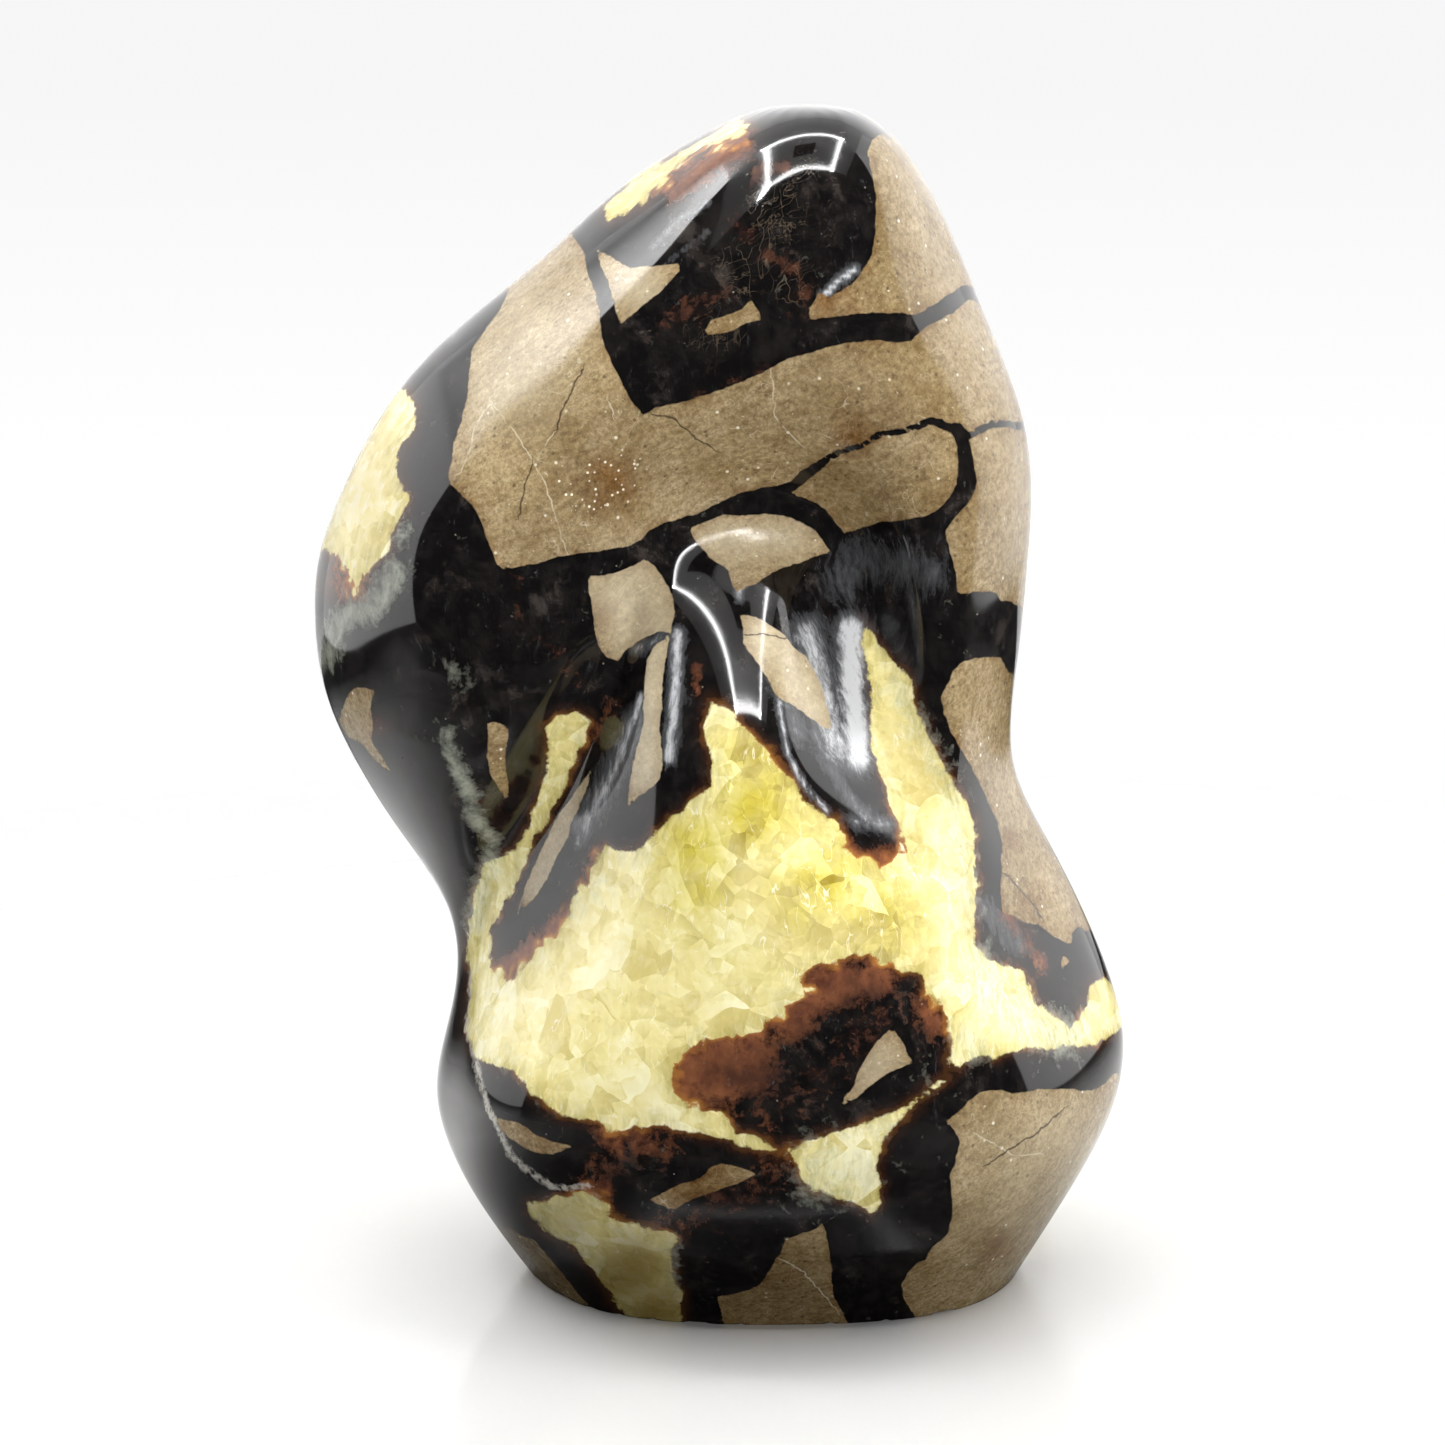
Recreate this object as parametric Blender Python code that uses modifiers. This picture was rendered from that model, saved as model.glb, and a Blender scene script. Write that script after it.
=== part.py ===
"""A polished septarian freeform: one solid stone, cut flat underneath so that it stands.

Everything is in metres, +Z up. The origin is on the table, at the middle of the flat cut.
The visible front faces -Y.
"""
import math

import bpy
import bmesh
import numpy as np
from mathutils import Vector

MM = 0.001

# The stone
STONE_COLOUR = (0.32, 0.26, 0.17)
STONE_ROUGHNESS = 0.12
SUBDIVISIONS = 2

# Sections of the stone, from the flat cut up, in millimetres. Each one is a height, then how far
# back it reaches, then eleven points (x, y) from its right side round the front to its left side:
# the right side, right flank, right ridge, valley, nose's right, nose, nose's left, left flank,
# fold, left lobe's face and left side.
SECTIONS = (
    (0.0, 18.5, ((29.8, 1.0), (27.4, -7.6), (22.4, -13.4), (15.0, -17.0),
                 (6.5, -18.4), (-2.0, -18.7), (-10.0, -18.1), (-18.0, -15.8),
                 (-24.2, -11.0), (-28.0, -5.0), (-29.2, 1.0))),
    (5.0, 22.0, ((32.4, 1.0), (30.2, -8.4), (24.6, -15.6), (16.4, -20.0),
                 (7.2, -21.9), (-2.0, -22.3), (-11.0, -21.6), (-20.2, -18.8),
                 (-27.2, -13.2), (-31.3, -6.0), (-32.6, 1.0))),
    (13.0, 26.5, ((36.8, 1.0), (34.3, -10.0), (27.6, -19.4), (18.4, -25.0),
                  (8.0, -27.4), (-2.0, -27.9), (-12.0, -27.0), (-22.4, -23.6),
                  (-30.6, -17.0), (-35.6, -8.0), (-37.2, 1.0))),
    (22.0, 29.5, ((40.8, 1.0), (38.0, -11.6), (30.4, -22.0), (20.0, -28.2),
                  (9.0, -30.8), (-2.0, -31.4), (-13.0, -30.4), (-24.8, -27.0),
                  (-33.4, -19.4), (-38.4, -8.6), (-40.1, 1.0))),
    (30.0, 29.5, ((41.9, 1.0), (38.4, -11.4), (30.2, -22.0), (20.0, -28.8),
                  (9.4, -31.8), (-1.6, -32.6), (-12.6, -31.8), (-24.8, -27.6),
                  (-33.2, -18.8), (-37.4, -8.0), (-39.0, 1.0))),
    (38.0, 28.0, ((39.7, 1.0), (36.2, -10.6), (28.4, -21.0), (19.4, -28.4),
                  (9.6, -32.4), (-0.6, -33.4), (-10.8, -32.2), (-23.0, -26.2),
                  (-32.2, -14.4), (-36.2, -5.0), (-37.4, 1.0))),
    (46.0, 26.5, ((36.2, 0.5), (32.8, -9.6), (26.0, -19.4), (18.8, -27.0),
                  (10.0, -32.0), (0.2, -33.6), (-9.6, -31.8), (-21.0, -24.0),
                  (-31.4, -10.6), (-36.4, -4.6), (-38.9, 1.0))),
    (54.0, 25.0, ((32.0, 0.5), (29.2, -8.6), (23.8, -18.0), (17.2, -25.0),
                  (9.4, -30.8), (-0.2, -33.4), (-8.8, -31.2), (-19.0, -22.6),
                  (-29.2, -10.8), (-37.0, -9.6), (-44.2, 1.0))),
    (62.0, 24.0, ((28.2, 0.0), (26.2, -8.6), (21.4, -17.6), (15.0, -22.0),
                  (7.4, -27.6), (-1.4, -32.0), (-9.0, -29.8), (-18.0, -21.6),
                  (-26.0, -13.4), (-37.6, -14.8), (-49.1, 1.0))),
    (70.0, 23.5, ((27.7, 0.0), (25.4, -9.6), (19.6, -17.2), (12.2, -17.4),
                  (4.6, -25.4), (-2.4, -30.3), (-9.8, -27.4), (-16.8, -21.0),
                  (-22.8, -15.8), (-37.2, -18.4), (-52.5, 1.0))),
    (78.0, 24.0, ((28.6, 0.0), (25.4, -11.6), (17.8, -18.4), (10.2, -13.4),
                  (3.0, -21.6), (-3.2, -25.3), (-9.6, -23.4), (-15.4, -19.4),
                  (-19.8, -17.4), (-36.6, -20.8), (-53.6, 1.0))),
    (86.0, 24.5, ((29.1, 0.0), (25.8, -12.8), (16.8, -19.2), (9.4, -11.2),
                  (2.8, -16.0), (-3.6, -19.0), (-10.2, -18.2), (-14.8, -17.0),
                  (-20.2, -18.4), (-37.4, -21.4), (-53.1, 1.0))),
    (94.0, 24.5, ((29.5, 0.0), (26.2, -12.8), (18.0, -19.4), (10.2, -14.4),
                  (2.8, -11.4), (-4.6, -12.6), (-11.4, -14.4), (-18.4, -18.6),
                  (-27.6, -21.4), (-40.4, -16.4), (-50.4, 1.0))),
    (103.0, 23.5, ((28.5, 0.0), (25.6, -11.0), (18.8, -17.2), (10.8, -18.8),
                   (2.6, -17.6), (-5.8, -17.2), (-13.6, -19.2), (-21.6, -20.6),
                   (-29.6, -18.2), (-38.0, -12.0), (-45.6, 2.0))),
    (112.0, 21.0, ((25.2, 1.0), (22.6, -9.0), (17.0, -15.4), (10.0, -18.8),
                   (2.4, -19.8), (-5.2, -20.0), (-12.6, -19.8), (-19.6, -18.2),
                   (-26.0, -14.4), (-32.6, -8.0), (-37.8, 2.0))),
    (121.0, 17.5, ((21.5, 2.0), (19.0, -6.6), (14.8, -13.0), (8.8, -17.2),
                   (2.2, -18.8), (-4.0, -18.8), (-10.0, -17.4), (-15.6, -14.4),
                   (-20.4, -9.8), (-24.4, -4.0), (-26.8, 3.0))),
    (129.0, 13.5, ((17.6, 3.0), (16.1, -6.0), (12.6, -12.6), (7.8, -15.7),
                   (2.8, -16.5), (-2.0, -16.1), (-6.8, -14.2), (-10.8, -10.8),
                   (-14.4, -5.4), (-16.8, -1.2), (-17.8, 3.5))),
    (135.2, 9.5, ((13.0, 4.0), (12.4, -4.0), (10.3, -9.8), (7.5, -12.3),
                  (4.4, -13.1), (1.4, -12.9), (-1.6, -11.6), (-4.2, -8.8),
                  (-6.2, -5.0), (-7.5, -0.4), (-8.0, 4.2))),
    (138.6, 6.4, ((8.0, 4.2), (7.9, 0.0), (7.5, -4.2), (6.2, -7.0),
                  (4.4, -7.9), (2.6, -7.4), (1.1, -5.8), (0.2, -3.4),
                  (-0.2, -0.8), (-0.4, 1.8), (-0.4, 4.2))),
)
BACK_POINTS = 5
BACK_FULLNESS = 0.8


def fresh_collection(name):
    for old in list(bpy.data.objects):
        bpy.data.objects.remove(old, do_unlink=True)
    collection = bpy.data.collections.new(name)
    bpy.context.scene.collection.children.link(collection)
    return collection


def whole_section(back_reach, front):
    """The front's eleven points, then the back's, worked out as a full arc from the left side to the right."""
    right_x, right_y = front[0]
    left_x, left_y = front[-1]
    points = list(front)
    for step in range(1, BACK_POINTS + 1):
        along = step / (BACK_POINTS + 1)
        turn = math.pi * along
        side_y = left_y + (right_y - left_y) * along
        x = (left_x + right_x) / 2 - (right_x - left_x) / 2 * math.cos(turn)
        y = side_y + (back_reach - side_y) * math.sin(turn) ** BACK_FULLNESS
        points.append((x, y))
    return points


def cage_through(points):
    """The cage whose smooth surface passes through the points. A smooth surface lies at a sixth, two
    thirds and a sixth of three neighbours, so the cage is the points with that undone both ways."""
    rows, columns = points.shape[:2]
    around = (4 * np.eye(columns) + np.roll(np.eye(columns), 1, 1) + np.roll(np.eye(columns), -1, 1)) / 6
    along = (4 * np.eye(rows) + np.eye(rows, k=1) + np.eye(rows, k=-1)) / 6
    along[0] = np.eye(rows)[0]
    along[-1] = np.eye(rows)[-1]
    cage = np.linalg.solve(along, points.reshape(rows, -1)).reshape(points.shape)
    return np.linalg.solve(around, cage.transpose(1, 0, 2).reshape(columns, -1)).reshape(
        columns, rows, 3).transpose(1, 0, 2)


def loft(cage):
    """One closed mesh through the cage's rings, with a flat cut below and a small cap on top."""
    form = bmesh.new()
    rings = [[form.verts.new(Vector(point) * MM) for point in ring] for ring in cage]
    count = len(rings[0])
    for lower, upper in zip(rings, rings[1:]):
        for i in range(count):
            form.faces.new((lower[i], upper[i], upper[(i + 1) % count], lower[(i + 1) % count]))
    form.faces.new(rings[0])
    form.faces.new(reversed(rings[-1]))
    crease = form.edges.layers.float.new("crease_edge")
    for i in range(count):
        form.edges.get((rings[0][i], rings[0][(i + 1) % count]))[crease] = 1.0
    bmesh.ops.recalc_face_normals(form, faces=form.faces)
    mesh = bpy.data.meshes.new("nodule")
    form.to_mesh(mesh)
    form.free()
    return mesh


def polished_stone_material():
    material = bpy.data.materials.new("polished_septarian")
    material.use_nodes = True
    shader = material.node_tree.nodes["Principled BSDF"]
    shader.inputs["Base Color"].default_value = (*STONE_COLOUR, 1.0)
    shader.inputs["Roughness"].default_value = STONE_ROUGHNESS
    shader.inputs["Metallic"].default_value = 0.0
    return material


def build():
    collection = fresh_collection("septarian_nodule")
    rows = [[(x, y, height) for x, y in whole_section(back, front)] for height, back, front in SECTIONS]
    nodule = bpy.data.objects.new("nodule", loft(cage_through(np.array(rows))))
    collection.objects.link(nodule)
    nodule.data.materials.append(polished_stone_material())
    smooth = nodule.modifiers.new("smooth form", "SUBSURF")
    smooth.levels = SUBDIVISIONS
    smooth.render_levels = SUBDIVISIONS
    nodule.data.shade_smooth()


build()
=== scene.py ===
import math

import bpy
import numpy as np
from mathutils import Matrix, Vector, noise


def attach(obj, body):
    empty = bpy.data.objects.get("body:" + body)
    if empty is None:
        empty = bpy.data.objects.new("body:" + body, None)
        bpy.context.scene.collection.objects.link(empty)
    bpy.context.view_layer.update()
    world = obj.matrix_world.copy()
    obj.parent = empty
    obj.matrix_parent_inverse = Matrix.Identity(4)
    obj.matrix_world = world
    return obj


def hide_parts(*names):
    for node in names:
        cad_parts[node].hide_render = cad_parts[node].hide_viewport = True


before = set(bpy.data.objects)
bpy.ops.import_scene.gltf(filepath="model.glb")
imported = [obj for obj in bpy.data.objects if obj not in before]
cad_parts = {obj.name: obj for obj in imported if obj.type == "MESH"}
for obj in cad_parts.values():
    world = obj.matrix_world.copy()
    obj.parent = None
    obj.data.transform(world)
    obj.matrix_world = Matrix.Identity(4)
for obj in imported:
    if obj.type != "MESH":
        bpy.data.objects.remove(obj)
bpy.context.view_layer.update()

# ---------------------------------------------------------------- camera
# A plain tabletop view from 367 mm in front of the stone's middle, just
# higher than its top and looking slightly down.
CAMERA_MM = (-6.0, -367.0, 144.0)
CAMERA_DIPS = 11.8
LENS_MM = 79.72

lens = bpy.data.cameras.new("tabletop_camera")
lens.lens = LENS_MM
lens.sensor_width = 36.0
lens.clip_start = 0.01
camera = bpy.data.objects.new("tabletop_camera", lens)
camera.location = [mm / 1000 for mm in CAMERA_MM]
camera.rotation_euler = (math.radians(90 - CAMERA_DIPS), 0, 0)
bpy.context.scene.collection.objects.link(camera)
bpy.context.scene.camera = camera

# ---------------------------------------------------------------- the stone's form
# One piece of cut septarian nodule, ground to a freeform twist and polished
# all over, with a flat sawn base. The polish leaves no edge but the base rim.
SMOOTHER = 2
RIM_CREASE = 0.8
SAME_PLACE = 0.00001
FLAT_DOWN = -0.9
BASE_HEIGHT = 0.0005

bpy.ops.object.select_all(action="DESELECT")
stone = bpy.data.objects.new("polished_nodule", bpy.data.objects["nodule"].data.copy())
bpy.context.scene.collection.objects.link(stone)
stone.select_set(True)
bpy.context.view_layer.objects.active = stone
bpy.ops.object.mode_set(mode="EDIT")
bpy.ops.mesh.select_all(action="SELECT")
bpy.ops.mesh.remove_doubles(threshold=SAME_PLACE)
bpy.ops.mesh.tris_convert_to_quads(
    face_threshold=math.radians(60), shape_threshold=math.radians(75))
bpy.ops.object.mode_set(mode="OBJECT")

flat_faces = {face.index for face in stone.data.polygons
              if face.normal.z < FLAT_DOWN and face.center.z < BASE_HEIGHT}
faces_of = {}
for face in stone.data.polygons:
    for key in face.edge_keys:
        faces_of.setdefault(key, []).append(face.index)
crease = stone.data.attributes.new("crease_edge", "FLOAT", "EDGE")
for edge in stone.data.edges:
    on_base = [index in flat_faces for index in faces_of[tuple(sorted(edge.vertices))]]
    crease.data[edge.index].value = RIM_CREASE if any(on_base) and not all(on_base) else 0.0

smoother = stone.modifiers.new("polish", "SUBSURF")
smoother.levels = smoother.render_levels = SMOOTHER
bpy.ops.object.modifier_apply(modifier="polish")
bpy.ops.object.shade_smooth()

# ---------------------------------------------------------------- limestone blocks
# The nodule cracked as it dried. What is left of the mudstone are tan blocks
# with crisp edges; each outline is in mm across and up, as seen from the front.
LIMESTONE = {
    "crown": [
        (10.9, 134.5), (13, 136.3), (16, 139), (30, 130), (30, 119), (21.5, 118.3), (18.5, 116.3),
        (16, 114.8), (14.5, 115.1), (9, 115), (4, 114.3), (3.8, 115.5), (5, 117.4), (6.3, 116.8),
        (8.8, 118.3), (9.9, 119.8), (10.9, 121.5), (11.4, 124), (11.4, 128), (10.8, 131.2), (10.3, 133)],
    "broad band": [
        (-24, 125), (-21.7, 122), (-21.5, 120), (-20.5, 117.5), (-20, 115), (-19.8, 112.5), (-19.4, 111),
        (-18.5, 109), (-17.2, 106.5), (-16.2, 104.7), (-15, 103.4), (-13.9, 104.2), (-10, 105), (-5, 106.7),
        (-1, 108.5), (1, 109.7), (4, 110.6), (6.5, 111.3), (9, 111.8), (12, 112), (14, 111.6), (15.5, 112),
        (17, 113.3), (19, 114.4), (20.3, 115), (22, 116.5), (30, 117), (34, 104), (29.7, 101.3),
        (28.5, 102.3), (27, 102.8), (25, 102.8), (23.5, 102.1), (22.2, 101.4), (21.3, 102.6), (20, 102.4),
        (19.2, 103), (18, 103.2), (16.5, 102.6), (15, 102), (12.5, 101.7), (11.5, 101.3), (10, 100.2),
        (7.5, 99.5), (6, 98.8), (4.5, 97.8), (3, 97), (2, 95.8), (0.5, 95.3), (-1.5, 95), (-4, 94.4),
        (-6, 93.5), (-8, 92.4), (-10, 91.7), (-12.5, 91), (-14.5, 90), (-15.5, 88.9), (-17, 88.2),
        (-20, 87.7), (-24, 87.2), (-27, 86.3), (-29, 86), (-31, 85.4), (-32, 85.6), (-33, 88.5),
        (-33.8, 90.8), (-34.6, 92.6), (-36.3, 94.5), (-37.7, 95.7), (-37.3, 97.8), (-37, 100),
        (-36, 102.5), (-35.3, 105.5), (-35, 108), (-34.7, 111), (-31, 116), (-30.5, 118), (-30, 121)],
    "upper wedge": [
        (-20.3, 122.3), (-18.2, 121.2), (-16.6, 120.2), (-13.5, 120.4), (-11, 120.7), (-10.9, 119.8),
        (-13, 117.6), (-15.2, 115.8), (-17.7, 113.8), (-18.3, 116), (-19, 118.5), (-19.9, 120.5)],
    "upper chip": [
        (-7.9, 113.2), (-7.3, 114.2), (-5, 115), (-3.6, 115.6), (-2.8, 116.6), (-2.1, 115.7),
        (-1.6, 114.4), (-3, 114), (-4.3, 113.4), (-6, 112.7), (-7.6, 112.6)],
    "shoulder lens": [
        (1.8, 94.3), (3.5, 95.6), (5, 96.8), (6.5, 98.2), (8, 99), (10, 99.4), (11.5, 100.4), (13, 101),
        (15, 101.2), (16.5, 101.7), (18, 102.2), (19.3, 101.8), (20.3, 101.4), (20.9, 100.2), (21.2, 98),
        (21, 95.5), (20.3, 94), (19, 92.5), (17.5, 91.7), (15, 91.3), (12, 91), (10.3, 90.4), (8.2, 89.7),
        (7, 91), (6, 92.5), (4.8, 93.2), (3.3, 93.9)],
    "right shoulder": [
        (22.2, 100.5), (23.5, 101.2), (25, 102), (27, 102), (28.5, 101.4), (29.7, 100.5), (34, 100),
        (34, 80), (30, 80), (28.3, 81.2), (27.5, 81.7), (26.3, 81.8), (25.8, 82.7), (25, 82.9),
        (23, 82.8), (21.3, 82.5), (21.2, 84.5), (20.8, 86), (20.3, 88), (19.7, 90), (21, 91.6),
        (22, 92.8), (23, 94.3), (23.4, 95.8), (23, 97.5), (22.6, 99.8)],
    "right waist": [
        (19.6, 70.3), (20.3, 72), (21, 73.6), (22, 74.5), (23.5, 75), (25.5, 75.2), (26.5, 75), (27, 74),
        (27.6, 72.8), (28, 71), (33, 71), (33, 65), (36, 58), (42, 45), (39, 41), (36.2, 42.6), (35.6, 42),
        (35.5, 40.3), (34.5, 40.7), (33, 41.6), (31.5, 42.8), (30.2, 43), (28.7, 43.8), (27.3, 44.2),
        (26.9, 47), (27, 49), (27, 51), (27, 53.3), (26.3, 55.5), (25.3, 57.8), (24.3, 60), (23.2, 62),
        (22, 64), (20.8, 66.3), (19.9, 68.5)],
    "notch left": [
        (-21.6, 84.6), (-19, 84.9), (-17, 85.6), (-15, 86.7), (-14, 86), (-13, 84.6), (-12, 83),
        (-11.7, 81.5), (-11.6, 80), (-12, 78), (-13.5, 78.2), (-15.5, 77.2), (-17.2, 76), (-18.2, 74.7),
        (-19.5, 75.2), (-20.5, 76.5), (-20.9, 79), (-21.2, 81), (-21.5, 83)],
    "notch crescent": [
        (-9.7, 90.3), (-8, 91), (-6, 91.8), (-4, 91.8), (-2.5, 91.9), (0, 91.9), (1.5, 91.6), (3, 91),
        (4.5, 90.2), (5.5, 89), (6.5, 87.5), (4.8, 87), (3, 86.3), (1, 85.6), (-0.5, 85), (-2, 83.9),
        (-4.5, 82.8), (-5, 84), (-5.2, 85.3), (-7, 86.5), (-8.5, 88), (-9.7, 89.5)],
    "nose blade": [
        (-4, 80.2), (-2, 79.9), (-0.5, 79), (1, 78), (2.2, 76.3), (4, 75), (5, 73), (5.8, 71), (6.3, 69),
        (6.9, 66), (4.3, 67.9), (2.3, 69.4), (0.2, 70.5), (-0.6, 72.3), (-1.6, 74), (-2.6, 75.4),
        (-3.6, 76.8), (-3.6, 78.5)],
    "nose sliver": [
        (-12.2, 77.6), (-13.8, 76.6), (-14.9, 74.8), (-15.1, 72), (-15.3, 69.5), (-15.2, 67.5),
        (-15.7, 65.5), (-16.3, 63.5), (-16.6, 62), (-17, 60), (-17.2, 57.1), (-16, 58.3), (-15, 59),
        (-13.5, 60.3), (-13.1, 61.8), (-13.1, 64), (-13.4, 66.5), (-13.1, 69), (-13, 72), (-12.6, 75)],
    "flank sliver": [
        (-21.2, 62), (-21.8, 60), (-23, 57), (-23.9, 55), (-24.2, 53.5), (-25.3, 51.5), (-26.5, 49),
        (-27.8, 46.7), (-30.3, 44), (-30, 45.5), (-29.5, 47), (-28.5, 49.5), (-27.6, 51.5), (-26.5, 54),
        (-25.5, 56), (-24, 58), (-22.5, 60.2)],
    "lobe chip": [
        (-49.6, 71), (-48.5, 71.6), (-46.8, 71.5), (-46.9, 70.2), (-47.2, 69), (-47, 67.5), (-47.1, 66.3),
        (-47.2, 65), (-46, 63.2), (-44.6, 61), (-45.6, 61.8), (-47, 63), (-48, 64.5), (-49, 65.4),
        (-50.5, 65), (-51.5, 66), (-51, 68), (-50.3, 69.5)],
    "lobe blade": [
        (-33.5, 67.6), (-31.2, 66.9), (-31.2, 65.5), (-31.5, 63.5), (-31.5, 62), (-31.3, 60),
        (-31.2, 57.7), (-32.4, 59.5), (-33.4, 61.5), (-33.6, 63), (-33.5, 65)],
    "island chip": [
        (8, 20.1), (8.8, 21.5), (9.8, 22.8), (10.4, 24.8), (11.3, 26.5), (12.5, 28.3), (14.3, 30),
        (15, 29), (15.8, 28), (16, 26.8), (17, 25.8), (15.2, 25), (13.5, 24.2), (11.8, 22.9), (10.2, 21.3)],
    "low lens": [
        (-15, 8.2), (-13, 9.4), (-11.3, 10.3), (-10, 10.6), (-8.7, 11.1), (-7.5, 12.4), (-6, 13),
        (-4.5, 12.6), (-2, 11.7), (-4, 10.5), (-6, 9.8), (-8, 9), (-10, 8.3), (-11.8, 7.1), (-13.2, 7.6)],
    "left lens": [
        (-33.3, 18.8), (-32.2, 18.5), (-30.6, 18.2), (-29.3, 17.2), (-27.8, 16.3), (-26.2, 15.7),
        (-24, 15.2), (-25, 14.7), (-26.5, 14.2), (-28.3, 14.3), (-29.8, 14.8), (-31.3, 16), (-32.8, 17.3)],
    "base left": [
        (-31.3, 4.5), (-30, 3.6), (-28.9, 3.3), (-27.5, 1.6), (-26, -0.5), (-24.5, -2.3), (-23.5, -3.8),
        (-22.3, -5.2), (-21.5, -9), (-32, -9), (-38, 5)],
    "base middle": [
        (6.2, 5.4), (5.3, 4.7), (3.5, 4), (1.6, 3.3), (1.2, 1.8), (0.2, 0.3), (-0.6, -1.3), (-1.5, -2.5),
        (-3, -3.3), (-5, -3.9), (-6.7, -4), (-6.3, -5.6), (-5.8, -7.8), (-5.5, -10), (10, -10),
        (9.2, -7.3), (8.5, -5.8), (7.5, -4), (7.3, -2), (7.2, 0), (6.9, 2.5), (6.5, 4.3)],
    "base right": [
        (20.8, 18.3), (22, 19.3), (23.3, 20.5), (24.7, 21.8), (26, 22.3), (27.5, 22.2), (29, 21.8),
        (30.5, 22), (32, 22.4), (36, 22.4), (37, 22.1), (38.5, 22.3), (39.8, 23), (41, 24.5), (46, 26),
        (40, 0), (30, -10), (18, -10), (17.5, -6.7), (16.8, -5.5), (16, -4.2), (15.8, -2.8), (16.5, -1),
        (17.5, 0.2), (18.6, 0.7), (19.3, 2.2), (20.7, 3.2), (21.4, 4.3), (21.8, 6), (21.8, 8),
        (21.6, 10.2), (21.4, 11.5), (22, 12.8), (22.3, 14.3), (22.6, 15.8), (21.8, 17.3)],
    "right chip": [(34.3, 39), (35.4, 38.5), (34.5, 37)],
}

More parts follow.
